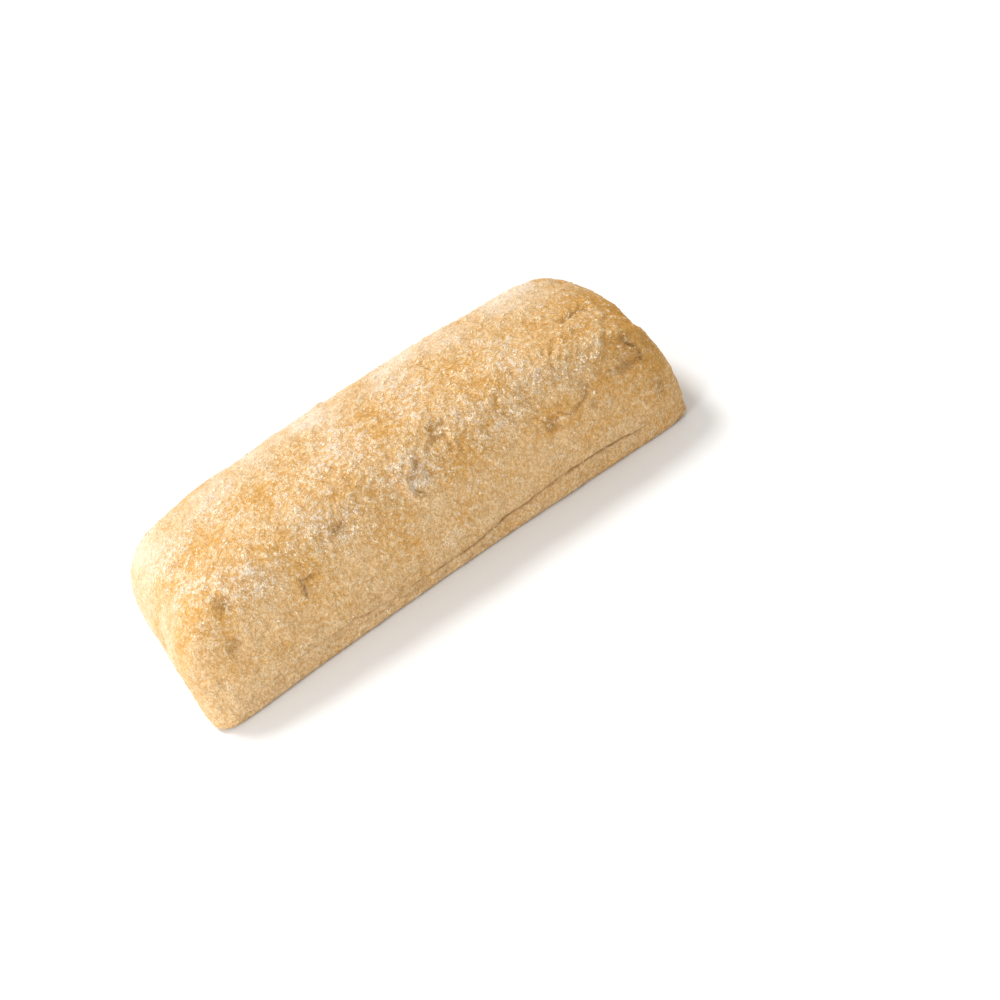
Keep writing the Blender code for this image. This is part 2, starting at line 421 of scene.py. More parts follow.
crown_share = smooth_step(form[:, 2], 20 * MM, 40 * MM)
left_share = smooth_step(-form[:, 0], 5 * MM, 65 * MM)
right_share = smooth_step(form[:, 0], 0, 60 * MM)
far_share = smooth_step(form[:, 1], 0, 24 * MM) * (1 - smooth_step(form[:, 1], 23 * MM, 35 * MM))


def recipe(base, *parts):
    """A map made of a base value and parts, each with how much it adds or, below zero, takes away."""
    total = np.full(len(form), base)
    for amount, part in parts:
        total += amount * part
    return total


rough_share = recipe(
    0.36,
    (0.64, crown_share),
    (0.42, rolling(form, ROUGHNESS_WIDTH, (1.7, 9.2, 4.4))),
    (-0.38, crown_share * left_share),
    (-0.35, crown_share * far_share),
)
rough_share = np.clip(rough_share, *ROUGHNESS_LIMITS)
print(f"the crust is {100 * rough_share.mean():.0f}% rough on average")

# %% Wrinkles, lumps, pebbles and sand
WRINKLE_WIDTH = 8.5 * MM
WRINKLE_HEIGHT = 0.34 * MM
LUMP_WIDTH = 4.4 * MM
LUMP_HEIGHT = 0.42 * MM
PEBBLE_WIDTH = 2.6 * MM
PEBBLE_HEIGHT = 0.28 * MM
FOLD_WIDTH = 3.0 * MM
FOLD_HEIGHT = 0.30 * MM
SAND_WIDTH = 1.3 * MM
SAND_HEIGHT = 0.26 * MM
STREAK_WIDTH = 2.2 * MM
STREAK_HEIGHT = 0.16 * MM
WANDER = 0.7 * MM           # how far cells and cracks are pushed out of their regular places
WANDER_WIDTH = 3.5 * MM

wander = WANDER * np.stack([rolling(form, WANDER_WIDTH, (way, 1.5, 2.5)) for way in range(3)], axis=1)
wrinkles = 0.5 - 2 * np.abs(rolling(form * (0.7, 1, 1.3), WRINKLE_WIDTH, (7.1, 4.9, 2.6)))
lumps = rolling(form, LUMP_WIDTH, (5.5, 1.2, 7.7))
pebbles = 0.45 - cells(form + wander, PEBBLE_WIDTH, (2.2, 6.1, 0.4))
folds = 0.35 - 2 * np.abs(rolling(form + wander, FOLD_WIDTH, (4.8, 8.1, 1.9)))
sand = rolling(form, SAND_WIDTH, (0.3, 3.3, 8.8))
wall_streaks = rolling(form * (0.35, 1, 1), STREAK_WIDTH, (6.2, 0.5, 9.4)) * (1 - crown_share)
coarse = WRINKLE_HEIGHT * wrinkles + STREAK_HEIGHT * wall_streaks
coarse += LUMP_HEIGHT * (0.5 + 0.5 * rough_share) * lumps
grainy = rough_share * (PEBBLE_HEIGHT * pebbles + FOLD_HEIGHT * folds)
grainy += SAND_HEIGHT * (0.35 + 0.65 * rough_share) * sand
print(f"coarse relief reaches {np.abs(coarse).max() / MM:.2f} mm, grain {np.abs(grainy).max() / MM:.2f} mm")

# %% [markdown]
# ## The long creases
# Low on each side the crust folded over the foot as the roll spread in the oven. The fold is a thin dark
# line with a rolled edge above it and a flat lip below it. Weaker lines run over and under the first. A
# groove could be cut with a knife tool, but the cage's loops already run along the creases. So each is a
# part of the relief that follows a height above the base, wanders a little, and fades out at both ends.

# %% Where the creases run
CREASES = (
    # side, offset above the main crease (mm), strength, from x, to x (mm)
    (-1, 0.0, 1.0, -22, 80),
    (-1, 0.0, 0.50, -86, -2),
    (-1, 2.2, 0.30, 2, 52),
    (-1, 3.4, 0.35, -70, 6),
    (-1, -2.6, 0.35, -84, 20),
    (-1, -4.4, 0.40, 60, 92),
    (1, 0.0, 0.8, -82, 88),
    (1, 3.1, 0.35, -30, 40),
)
CREASE_PEAKS = {-1: CREASE_PEAK_FRONT, 1: CREASE_PEAK_BACK}
CREASE_WANDERS = (          # how far, how often, and the noise's offset
    (0.5 * MM, 11 * MM, (4.0, 0.2, 0.6)),
    (0.28 * MM, 3.1 * MM, (1.3, 5.2, 0.6)),
)


def along(wavelength, offset):
    """Noise that only changes along the roll, for lines that wander and fade."""
    return rolling(form * (1, 0, 0), wavelength, offset)


crease_wander = sum(reach * along(wavelength, offset) for reach, wavelength, offset in CREASE_WANDERS)
print(f"{len(CREASES)} lines, which wander by up to {np.abs(crease_wander).max() / MM:.1f} mm")

# %% Fold the creases in
GROOVE_DEPTH = 0.62 * MM
GROOVE_HALF_WIDTH = 0.42 * MM
HOLLOW_DEPTH = 0.40 * MM
HOLLOW_HALF_WIDTH = 1.8 * MM
ROLLED_EDGE = 0.40 * MM
EDGE_ABOVE = 1.9 * MM       # the rolled edge's place over the groove
EDGE_HALF_WIDTH = 1.4 * MM
SHADOW_BELOW = 1.0 * MM     # the shaded lip's place under the groove
SHADOW_HALF_WIDTH = 1.1 * MM
SHADOW_SHARE = 0.30
LINE_WANDER = 0.8 * MM      # the weaker lines wander away from the main one
LINE_WANDER_WIDTH = 19 * MM
BREAK_WIDTH = 7 * MM        # each groove grows and fades in stretches about this long
BREAK_LIMITS = (0.15, 1.2)
FADE_IN_MM = 22             # how long a crease takes to appear, and to go
FADE_OUT_MM = 14


def bell(distance, half_width):
    """1 on a line, falling softly to 0 beyond the half width."""
    return np.exp(-((distance / half_width) ** 2))


creases = np.zeros(len(form))
crease_shade = np.zeros(len(form))
for side, offset, strength, start, end in CREASES:
    on_side = smooth_step(side * form[:, 1], 10 * MM, 25 * MM)
    above = form[:, 2] - crease_height(form[:, 0], CREASE_PEAKS[side]) - offset * MM - crease_wander
    above -= LINE_WANDER * along(LINE_WANDER_WIDTH, (offset, 7.7, 2.0)) * (offset != 0)
    reach = smooth_step(form[:, 0], start * MM, (start + FADE_IN_MM) * MM)
    reach *= 1 - smooth_step(form[:, 0], (end - FADE_OUT_MM) * MM, end * MM)
    reach *= on_side * strength
    broken = np.clip(0.85 + 0.9 * along(BREAK_WIDTH, (offset, 2.0, 1.0)), *BREAK_LIMITS)
    groove = broken * bell(above, GROOVE_HALF_WIDTH)
    hollow = bell(above, HOLLOW_HALF_WIDTH)
    edge = bell(above - EDGE_ABOVE, EDGE_HALF_WIDTH)
    shadow = bell(above + SHADOW_BELOW, SHADOW_HALF_WIDTH)
    creases += reach * (ROLLED_EDGE * edge - GROOVE_DEPTH * groove - HOLLOW_DEPTH * hollow)
    crease_shade = np.maximum(crease_shade, reach * (groove + SHADOW_SHARE * broken * shadow))
print(f"the deepest crease is {-creases.min() / MM:.2f} mm deep")

# %% Draw fine lines along the foot
FOOT_LINE_WIDTH = 1.5 * MM
FOOT_LINE_DEPTH = 0.16 * MM

below_crease = 1 - smooth_step(form[:, 2], 7 * MM, 13 * MM)
foot_lines = rolling(form * (0.14, 0.5, 1), FOOT_LINE_WIDTH, (0.9, 6.6, 3.1))
foot_lines *= FOOT_LINE_DEPTH * below_crease
print(f"the foot's lines are {np.abs(foot_lines).max() / MM:.2f} mm deep")

# %% [markdown]
# ## Dents, blisters and the pinched end
# Gas under the crust left blisters, and fingers and flour left dents. They could be sculpted one by one,
# but a list keeps each as a place and a size that can be changed. The ones that show most are listed, and
# others are drawn at random from one seed. The small dents also darken the crust, and the broad
# flats and swellings don't. The right end was pinched shut, so its cap sits back behind a slanted seam.

# %% Press the dents and raise the blisters
MARKS_MM = (
    # place, radius, height (a dent's is negative)
    ((10.2, -23, 43), 3.6, -1.1),     # dark dent on the shoulder, mid length
    ((4.7, -9.4, 47), 3.2, -0.6),     # dimples on the crown
    ((-25, -15, 47), 3.0, -0.6),
    ((-73, -27.3, 35), 3.0, -1.1),    # dent on the shoulder near the left end
    ((-77, -32.4, 25), 2.8, -1.0),    # dent on the left corner
    ((-91, -21, 27), 2.2, -0.6),      # pit on the left end
    ((-92, -33, 13), 8.0, -0.9),      # the left corner's flat
    ((44, -31.6, 27.4), 2.8, -1.0),   # upright dent beside the blister
    ((51.5, -32, 32), 5.0, 0.9),      # round blister
    ((-49, -31, 28.5), 3.2, -0.5),    # hollow round the forked crack
    ((-5.5, -28.5, 38), 4.6, 0.6),    # curled ridge on the shoulder
    ((-32, -28.5, 36.6), 3.0, -0.6),  # wrinkle on the shoulder
    ((84, -34, 16), 3.0, -0.8),       # hollow beside the flake on the right end's corner
    ((88, -30, 22), 8.0, -0.8),       # the right corner's flat
    ((77, -29.5, 31.5), 4.8, -0.7),   # cracked hollow on the right end
    ((87, 5, 34), 12.0, 1.9),         # swelling on the right end's brow
)
MARK_FALLOFF = 0.6
# smaller marks get painted shade in their hollows; wider ones get none
BROAD_MARK_MM = 6.0         # wider marks are flats and swellings, and the oven didn't darken them


def mark_relief(points, centre, radius, height):
    """One dent or blister: a plateau with a soft edge."""
    distance = np.linalg.norm(points - centre, axis=1) / radius
    return height * (1 - smooth_step(distance, 1 - MARK_FALLOFF, 1 + MARK_FALLOFF))


marks = np.zeros(len(form))
broad_marks = np.zeros(len(form))
for place, radius, height in MARKS_MM:
    layer = broad_marks if radius > BROAD_MARK_MM else marks
    layer += mark_relief(form, np.array(place) * MM, radius * MM, height * MM)
print(f"{len(MARKS_MM)} marks, the deepest {-marks.min() / MM:.1f} mm")

# %% Scatter small marks
SCATTER_SEED = 7
SCATTER_COUNT = 60
SMALL_MARK_RADIUS = (1.2 * MM, 3.4 * MM)
SMALL_MARK_HEIGHT = (-0.55 * MM, 0.45 * MM)
CLEAR_OF_CREASE = 4 * MM

scattered = np.zeros(len(form))
draw = np.random.default_rng(SCATTER_SEED)
wall_points = form[form[:, 2] > CREASE_HEIGHT + CLEAR_OF_CREASE]
for centre in wall_points[draw.choice(len(wall_points), SCATTER_COUNT, replace=False)]:
    radius = draw.uniform(*SMALL_MARK_RADIUS)
    scattered += mark_relief(form, centre, radius, draw.uniform(*SMALL_MARK_HEIGHT))
dent_shade = np.clip(-(marks + scattered) / MM, 0, 1)
print(f"{SCATTER_COUNT} small marks reach {np.abs(scattered).max() / MM:.1f} mm")

# %% Pinch the right end
SEAM_MM = (                 # where the seam crosses the crown: y, x
    (-31.4, 58.4), (-30.2, 64.4), (-27.8, 69.9), (-25.1, 72.2),
    (-14.1, 80.2), (-8.3, 81.6), (4, 83), (20, 84),
)
SEAM_SLANT = 0.75           # the seam runs slantwise, so its real distance is shorter than that along x
SEAM_STEP = 0.45 * MM
SEAM_HALF_WIDTH = 2.2 * MM
SEAM_RIDGE = 0.35 * MM
SEAM_RIDGE_HALF_WIDTH = 0.9 * MM

seam_y, seam_x = np.array(SEAM_MM).T * MM
across_seam = SEAM_SLANT * (form[:, 0] + wander[:, 0] - np.interp(form[:, 1], seam_y, seam_x))
high_up = smooth_step(form[:, 2], 26 * MM, 35 * MM)
cap_share = smooth_step(across_seam, -SEAM_HALF_WIDTH, SEAM_HALF_WIDTH) * high_up
nearer_front = 1 - smooth_step(form[:, 1], -6 * MM, 12 * MM)
seam_line = high_up * bell(across_seam, SEAM_RIDGE_HALF_WIDTH) * nearer_front
seam = SEAM_RIDGE * seam_line - SEAM_STEP * cap_share
print(f"the seam slants by {np.ptp(seam_x) / MM:.0f} mm along the roll")

# %% [markdown]
# ## Cracks and rims
# A few thin cracks and curled rims catch the light. A crack could be cut into the mesh, but a shallow one
# is a narrow groove in the relief, which keeps the crust closed. Each is a short line of points on the
# crust. The distance from every crust point to that line gives the groove, or a narrow ridge where the
# depth is negative. A broken dark line follows the seam, just behind its ridge.

# %% Where the cracks run
CRACKS_MM = (
    # points on the crust, half width, depth (a ridge's is negative)
    (((-50.5, -30.3, 29.8), (-47.6, -30.6, 29.4), (-44.6, -31.0, 28.7)), 0.5, 0.6),
    (((-50.4, -31.1, 28.2), (-51.0, -32.1, 27.0), (-51.2, -32.5, 25.4)), 0.5, 0.8),
    (
        ((77.6, -26, 37), (78.4, -27.3, 34.9), (81, -28.2, 32.5), (81.6, -28.8, 30.5), (80.8, -30, 28.2)),
        0.6, 0.9,
    ),
    (((80.2, -29.8, 29.2), (76, -30.9, 29.2), (69, -31.0, 31.2)), 0.9, 0.5),
    (((80.2, -30.3, 27.3), (76, -31.3, 27.3), (69, -31.4, 29.4), (65, -31.4, 29.8)), 0.8, -0.6),
    (((85.2, -31.8, 19.6), (82.6, -33.8, 17.6), (80.2, -34.6, 15.4)), 0.8, -0.6),
    (((46.9, -31.7, 29.8), (49, -33.1, 27.8), (52, -33.2, 27.3), (57, -32.4, 29), (60, -31, 32)), 0.7, 0.7),
    (((-3.4, -26.8, 40.8), (-7.6, -28.8, 38.4), (-8.8, -30.1, 35), (-6.9, -30.9, 31.3)), 0.8, -0.6),
    (((-1.4, -27.2, 40.4), (-5.2, -29, 38), (-6.2, -30.3, 34.8), (-4.6, -31, 31.6)), 0.9, 0.7),
    (((67.4, -11, 43.4), (74.5, -8, 41.6), (77.8, -7.6, 40.4)), 1.2, 0.9),
    (((62.6, -24.8, 41.3), (60.4, -26.6, 40)), 0.6, -0.4),
    (((23, 7, 47.4), (22.6, 4, 47.5), (23.4, 0, 47.6)), 0.6, 0.5),
    (((-30.5, -27.5, 37.2), (-33.6, -28.9, 36.4)), 0.7, 0.6),
    (((30, 24, 42), (34, 27, 39), (33, 30, 35)), 0.7, 0.7),
    (((-60, 26, 39), (-55, 29, 35), (-56, 31, 31)), 0.7, 0.6),
    (((-92, 8, 30), (-92.5, 3, 27), (-93, 2, 22)), 0.7, 0.7),
)

crack_count = sum(row[2] > 0 for row in CRACKS_MM)
print(f"{crack_count} cracks and {len(CRACKS_MM) - crack_count} rims")

# %% Open the cracks
LINE_REACH = 4 * MM         # a crack's line may lie this far over or under the plain form


def distance_to_line(points, directions, line):
    """How far each point is from the line, measured along the crust and not through it."""
    nearest = np.full(len(points), np.inf)
    for start, end in zip(line[:-1], line[1:]):
        stretch = end - start
        share = np.clip((points - start) @ stretch / (stretch @ stretch), 0, 1)
        gap = points - start - share[:, None] * stretch
        height = (gap * directions).sum(axis=1)
        along_crust = np.linalg.norm(gap - height[:, None] * directions, axis=1)
        nearest = np.minimum(nearest, np.where(np.abs(height) < LINE_REACH, along_crust, np.inf))
    return nearest


cracks = np.zeros(len(form))
crack_shade = np.zeros(len(form))
for line, half_width, depth in CRACKS_MM:
    distance = distance_to_line(form + wander, outward, np.array(line) * MM)
    profile = bell(distance, half_width * MM)
    cracks -= depth * MM * profile
    crack_shade = np.maximum(crack_shade, max(depth, 0) * profile)
print(f"the deepest crack is {-cracks.min() / MM:.1f} mm deep")

# %% Shade the seam
SEAM_SHADE_PLACE = 1.3 * MM
SEAM_SHADE_HALF_WIDTH = 0.7 * MM
SEAM_SHADE_SHARE = 0.6

seam_shade = high_up * bell(across_seam - SEAM_SHADE_PLACE, SEAM_SHADE_HALF_WIDTH)
seam_shade *= np.clip(0.5 + 1.5 * lumps, 0, 1)
crack_shade = np.maximum(crack_shade, SEAM_SHADE_SHARE * seam_shade)
print(f"the seam's shade covers {100 * (seam_shade > 0.5).mean():.1f}% of the points")

# %% [markdown]
# ## One relief
# A real crust has one surface, so the layers are summed before any point moves. Moving the points layer by
# layer would bend each one over the last. The sum is held back where it would stand out too far, so that
# the roll keeps its outline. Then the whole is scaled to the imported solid's exact size.

# %% Apply the relief and fit the box
PEAK_LIMIT = 0.8 * MM

uneven = swells + coarse + grainy + scattered + seam + foot_lines
relief = np.minimum(uneven, PEAK_LIMIT * np.tanh(uneven / PEAK_LIMIT))
relief += creases + marks + broad_marks + cracks
relief *= smooth_step(form[:, 2], 0, BASE_RADIUS)
points = form + outward * relief[:, None]
points[:, 2] = np.maximum(points[:, 2], 0.0)
low, high = points.min(axis=0), points.max(axis=0)
middle = (low + high) / 2 * (1, 1, 0)
points = (points - middle) * (LENGTH, WIDTH, HEIGHT) / (high - low)
write_points(crust_mesh, points)
crust_mesh.shade_smooth()
print(f"relief runs from {relief.min() / MM:.2f} to {relief.max() / MM:.2f} mm")

# %% [markdown]
# ## Where flour lies and where the crust browned
# Baker's flour stays on the crown and in patches low on the walls, as single grains that sit on what
# stands out. A thinner dust of it dulls the whole crust, and a painted highlight of flour white lies on
# the far edge and the left end, where the light falls. The oven browned the top and the right end, and the
# dents get painted shade. All this could be painted on by hand, but a formula finds every raised grain.
# Each map has one value for each point of the mesh, so that the material and the loose flour use the same
# one.

# %% Uneven patches
patches = rolling(form, 15 * MM, (6.6, 2.1, 3.9))
clumps = rolling(form, 4.5 * MM, (1.1, 7.4, 2.8))
streaks = rolling(form * (0.3, 1, 1.4), 8 * MM, (3.3, 3.3, 0.9))
low_walls = smooth_step(form[:, 2], 8 * MM, 12 * MM) * (1 - smooth_step(form[:, 2], 20 * MM, 30 * MM))
powder = low_walls * smooth_step(rolling(form * (0.6, 1, 1), 7 * MM, (0.8, 5.9, 2.2)), 0.12, 0.42)
raised = recipe(0.0, (1.8, pebbles), (2.0, sand), (0.6, lumps), (0.8, folds))
raised = (raised - raised.mean()) / raised.std()
print(f"powder lies on {100 * (powder > 0.5).mean():.0f}% of the points, low on the walls")

# %% Regions of the roll
GOLDEN_CORNER = np.array((-90, -33, 8)) * MM

upper_share = smooth_step(form[:, 2], 22 * MM, 39 * MM)
foot_share = 1 - smooth_step(form[:, 2], 8 * MM, 20 * MM)
left_end = smooth_step(-outward[:, 0], 0.55, 0.95)
end_share = smooth_step(form[:, 0], 62 * MM, 92 * MM)
corner_distance = np.linalg.norm(form - GOLDEN_CORNER, axis=1)
corner_share = 1 - smooth_step(corner_distance, 8 * MM, 26 * MM)
print(f"the golden corner takes in {100 * (corner_share > 0.5).mean():.1f}% of the points")

# %% Map the flour
FLOUR_LIMITS = (0.02, 0.6)
BARE_LEVEL = 1.4            # with no cover, flour sits only on what stands out about this far
FLOODING = 3.0              # how much a full cover lowers that level
FLOUR_SPOT_EDGE = 0.7       # how softly a spot of flour ends
BEAD_WIDTH = 1.9 * MM       # flour lies along the seam in beads

cover = recipe(
    -0.01,
    (0.30, upper_share),
    (0.10, patches),
    (0.14, upper_share * patches),
    (0.10, clumps),
    (0.26, powder),
    (-0.16, cap_share),
    (-0.07, right_share),
)
cover = np.clip(cover, *FLOUR_LIMITS)
spot_level = BARE_LEVEL - FLOODING * cover
flour = smooth_step(raised, spot_level - FLOUR_SPOT_EDGE, spot_level + FLOUR_SPOT_EDGE)
beads = smooth_step(rolling(form, BEAD_WIDTH, (2.6, 7.1, 4.0)), 0.0, 0.3)
flour = np.clip(flour + 0.9 * seam_line * beads, 0, 1)
print(f"grains of flour lie over {100 * flour.mean():.0f}% of the crust")

# %% Map the dust and the painted highlight
dust = recipe(
    0.68,
    (-0.06, upper_share),
    (0.26, streaks),
    (0.30, patches),
    (0.05, raised),
    (0.50, far_share * upper_share),
    (0.20, foot_share),
    (-0.26, end_share),
    (-0.15, cap_share),
    (-0.15, corner_share),
)
dust = np.clip(dust, 0, 1)
# painted highlight: flour white laid where the light falls on the far edge and the left end, less at the
# left corner
painted_highlight = recipe(
    0.0,
    (1.0, far_share * upper_share * (0.8 + 1.2 * patches + 0.6 * clumps)),
    (1.0, left_end * (0.35 + 0.7 * patches + 0.4 * clumps)),
    (-0.5, corner_share),
)
painted_highlight = np.clip(painted_highlight, 0, 1)
print(f"dust dulls {100 * dust.mean():.0f}% of the crust, and bloom whitens {100 * painted_highlight.mean():.0f}%")

# %% Map the browning and the dents' painted shade
browning_and_dent_shade = recipe(
    0.30,
    (0.32, upper_share),
    (0.12, end_share),
    (0.18, right_share),
    # painted shade in the dents, mixed into the browning
    (0.50, dent_shade),
    (-0.35, patches),
    (-0.06, raised),
    (-0.10, left_share),
    (-0.55, corner_share),
)
browning_and_dent_shade = np.clip(browning_and_dent_shade, 0, 1)
print(f"the crust is {100 * browning_and_dent_shade.mean():.0f}% browned on average")

# %% Map the dark lines
foot_edge = 1 - smooth_step(form[:, 2], 0.5 * MM, 2 * MM)
# painted shade in the creases, cracks and dents, and darker along the foot's edge
shade = recipe(0.0, (0.75, crease_shade), (0.70, crack_shade), (0.45, dent_shade), (0.30, foot_edge))
shade = np.clip(shade, 0, 1)
print(f"creases, cracks and dents shade {100 * (shade > 0.3).mean():.1f}% of the points")

# %% Keep the maps on the mesh
maps = {"flour": flour, "cover": cover, "dust": dust, "browning_and_dent_shade": browning_and_dent_shade, "shade": shade, "painted_highlight": painted_highlight}
for name, values in maps.items():
    layer = crust_mesh.attributes.new(name, "FLOAT", "POINT")
    layer.data.foreach_set("value", values.astype(np.float32))
print("the material can read", ", ".join(maps))

# %% [markdown]
# ## Shared effects
# The crust and the loose flour share some effects. Their nodes could be copied into each material, but a
# node group with named inputs and outputs is built once, and another baked thing can use it again. Baked
# mottle is the uneven colour of anything baked or milled, and flour film is the broken edge of a thin layer
# of flour. Flour grains are single grains on the crust, and crumb grain is its fine bump.

# %% Group maker
def new_group(name, inputs, outputs):
    """A shader node group with float sockets, then its inputs, outputs and place on the object."""
    group = bpy.data.node_groups.new(name, "ShaderNodeTree")
    for socket, default in inputs.items():
        made = group.interface.new_socket(socket, in_out="INPUT", socket_type="NodeSocketFloat")
        made.default_value = default
    for socket in outputs:
        group.interface.new_socket(socket, in_out="OUTPUT", socket_type="NodeSocketFloat")
    given = add_node(group, "NodeGroupInput").outputs
    result = add_node(group, "NodeGroupOutput").inputs
    position = add_node(group, "ShaderNodeTexCoord").outputs["Object"]
    return group, given, result, position


def noise_value(tree, position, scale, detail=2.0, roughness=0.5, distortion=0.0):
    """A noise texture's value, from 0 to 1, with about the given number of lumps to a metre."""
    settings = {"Scale": scale, "Detail": detail, "Roughness": roughness, "Distortion": distortion}
    return add_node(tree, "ShaderNodeTexNoise", {"Vector": position, **settings}).outputs[0]


print("two group helpers are ready")

# %% Baked mottle
mottle_group, given, result, position = new_group(
    "baked_mottle", {"Patch Scale": 90.0, "Speckle Scale": 900.0}, ("Patches", "Speckle"),
)
tree = mottle_group
patch_noise = noise_value(tree, position, given["Patch Scale"], 4.0, 0.6, 0.4)
speckle_noise = noise_value(tree, position, given["Speckle Scale"], 3.0, 0.65)
tree.links.new(scaled_range(tree, patch_noise, 0.36, 0.66), result["Patches"])
tree.links.new(scaled_range(tree, speckle_noise, 0.36, 0.66), result["Speckle"])
print(f"{tree.name} has {len(tree.nodes)} nodes")

# %% Flour film
film_group, given, result, position = new_group(
    "flour_film", {"Amount": 0.5, "Grain Scale": 1300.0, "Edge": 0.14}, ("Mask",),
)
tree = film_group
grain_noise = noise_value(tree, position, given["Grain Scale"], 3.0, 0.65)
cluster_scale = calculate(tree, "MULTIPLY", given["Grain Scale"], 0.33)
cluster_noise = noise_value(tree, position, cluster_scale, 2.0, 0.6, 0.5)
mixed_noise = calculate(tree, "ADD", grain_noise, calculate(tree, "MULTIPLY", cluster_noise, 0.6))
# with its values spread evenly, the amount is about the share that the film covers
even_spread = scaled_range(tree, mixed_noise, 0.58, 1.02)
even_spread.node.interpolation_type = "LINEAR"
level = calculate(tree, "ADD", even_spread, given["Amount"])
low_edge = calculate(tree, "SUBTRACT", 1.0, given["Edge"])
high_edge = calculate(tree, "ADD", 1.0, given["Edge"])
tree.links.new(scaled_range(tree, level, low_edge, high_edge), result["Mask"])
print(f"{tree.name} has {len(tree.nodes)} nodes")

# %% Flour grains
def calculate_vector(tree, operation, inputs):
    """The result of a sum on vectors."""
    return add_node(tree, "ShaderNodeVectorMath", inputs, operation=operation).outputs[0]


grains_group, given, result, position = new_group(
    "flour_grains", {"Amount": 0.4, "Scale": 900.0}, ("Mask", "Height"),
)
tree = grains_group
# a wobbled position gives the grains ragged edges
wobble_scale = calculate(tree, "MULTIPLY", given["Scale"], 1.7)
wobble = add_node(tree, "ShaderNodeTexNoise", {"Vector": position, "Scale": wobble_scale, "Detail": 2.0})
centred = calculate_vector(tree, "SUBTRACT", {0: wobble.outputs["Color"], 1: (0.5, 0.5, 0.5)})
wobble_reach = calculate(tree, "DIVIDE", 1.1, given["Scale"])
pushed = calculate_vector(tree, "SCALE", {0: centred, "Scale": wobble_reach})
wobbled = calculate_vector(tree, "ADD", {0: pushed, 1: position})
# each cell's random colour says whether it holds a grain, and how large
grain_cells = add_node(tree, "ShaderNodeTexVoronoi", {"Vector": wobbled, "Scale": given["Scale"]})
chances = add_node(tree, "ShaderNodeSeparateColor", {"Color": grain_cells.outputs["Color"]})
spare = calculate(tree, "SUBTRACT", given["Amount"], chances.outputs[0])
present = scaled_range(tree, spare, 0.0, 0.12)
size_spread = calculate(tree, "MULTIPLY", chances.outputs[1], 0.30)
grain_reach = calculate(tree, "ADD", 0.34, size_spread)
depth_inside = calculate(tree, "SUBTRACT", grain_reach, grain_cells.outputs["Distance"])
inside = calculate(tree, "MULTIPLY", depth_inside, present)
tree.links.new(scaled_range(tree, inside, 0.0, 0.10), result["Mask"])
tree.links.new(scaled_range(tree, inside, 0.0, 0.35), result["Height"])
print(f"{tree.name} has {len(tree.nodes)} nodes")

# %% Crumb grain
grain_group, given, result, position = new_group(
    "crumb_grain", {"Scale": 1100.0, "Pits": 0.35, "Wrinkles": 0.6}, ("Height", "Valleys"),
)
tree = grain_group
fine = noise_value(tree, position, given["Scale"], 3.0, 0.7)
pit_scale = calculate(tree, "MULTIPLY", given["Scale"], 0.6)
pit_cells = add_node(tree, "ShaderNodeTexVoronoi", {"Vector": position, "Scale": pit_scale})
pits = calculate(tree, "MULTIPLY", pit_cells.outputs["Distance"], given["Pits"])
# a valley runs wherever a slower noise crosses its middle value
wrinkle_scale = calculate(tree, "MULTIPLY", given["Scale"], 0.45)
wrinkle_noise = noise_value(tree, position, wrinkle_scale, 2.0, 0.6, 0.8)
off_middle = calculate(tree, "SUBTRACT", wrinkle_noise, 0.5)
from_valley = calculate(tree, "ABSOLUTE", off_middle, 0.0)
valley_lines = scaled_range(tree, from_valley, 0.0, 0.06, 1.0, 0.0)
valley_depth = calculate(tree, "MULTIPLY", valley_lines, given["Wrinkles"])
pitted = calculate(tree, "SUBTRACT", fine, pits)
tree.links.new(calculate(tree, "SUBTRACT", pitted, valley_depth), result["Height"])
tree.links.new(valley_lines, result["Valleys"])
print(f"{tree.name} has {len(tree.nodes)} nodes")

# %% [markdown]
# ## The crust's material
# Pale tan crust goes golden in patches and brown in specks. Dust dulls it, and a painted highlight whitens
# the far edge and the left end. Between the grains the golden crust shows, darkened there by painted shade,
# and creases, cracks and dents get painted shade too. Flour lies on top of all that, as a thin film and as
# three sizes of grain, painted whiter on the lit crown. A picture of a crust could be wrapped round it, but
# it would show a seam, and the flour wouldn't sit on the raised grains. So each layer is mixed over the last
# by the mesh's maps. Under flour a crust has no gloss, so it is fully matt. The bump holds only what is
# finer than the mesh.

# %% Use the groups and the maps
def place_group(tree, group, **values):
    """The group as a node in the tree, with its inputs linked or set."""
    inputs = {name.replace("_", " "): value for name, value in values.items()}
    return add_node(tree, "ShaderNodeGroup", inputs, node_tree=group)


def attribute(tree, name):
    """The value of one of the mesh's maps."""
    return add_node(tree, "ShaderNodeAttribute", attribute_name=name).outputs["Fac"]


print("two material helpers are ready")

# %% Bake the crust's colour
PALE_CRUST = (0.73, 0.465, 0.215, 1)
GOLDEN_CRUST = (0.68, 0.375, 0.11, 1)
BROWN_CRUST = (0.42, 0.215, 0.07, 1)

shader = new_material("floury_crust", crust_mesh, 0.0)
tree = shader.id_data
mottle = place_group(tree, mottle_group, Patch_Scale=95.0, Speckle_Scale=1000.0)
golden_patches = calculate(tree, "MULTIPLY", mottle.outputs["Patches"], 0.5)
golden_mask = calculate(tree, "ADD", attribute(tree, "browning_and_dent_shade"), golden_patches)
golden = mix_colours(tree, scaled_range(tree, golden_mask, 0.1, 1.0), PALE_CRUST, GOLDEN_CRUST)
brown_mask = calculate(tree, "MULTIPLY", attribute(tree, "browning_and_dent_shade"), mottle.outputs["Speckle"])
browned = mix_colours(tree, scaled_range(tree, brown_mask, 0.1, 0.9, 0.0, 0.45), golden, BROWN_CRUST)
print(f"baked with {len(tree.nodes)} nodes")

# %% Dull it with dust, and lay on the painted highlight
DUST_CREAM = (0.79, 0.60, 0.375, 1)
FLOUR_WHITE = (0.91, 0.80, 0.68, 1)
DUST_STRENGTH = 0.6
PAINTED_HIGHLIGHT_STRENGTH = 0.6

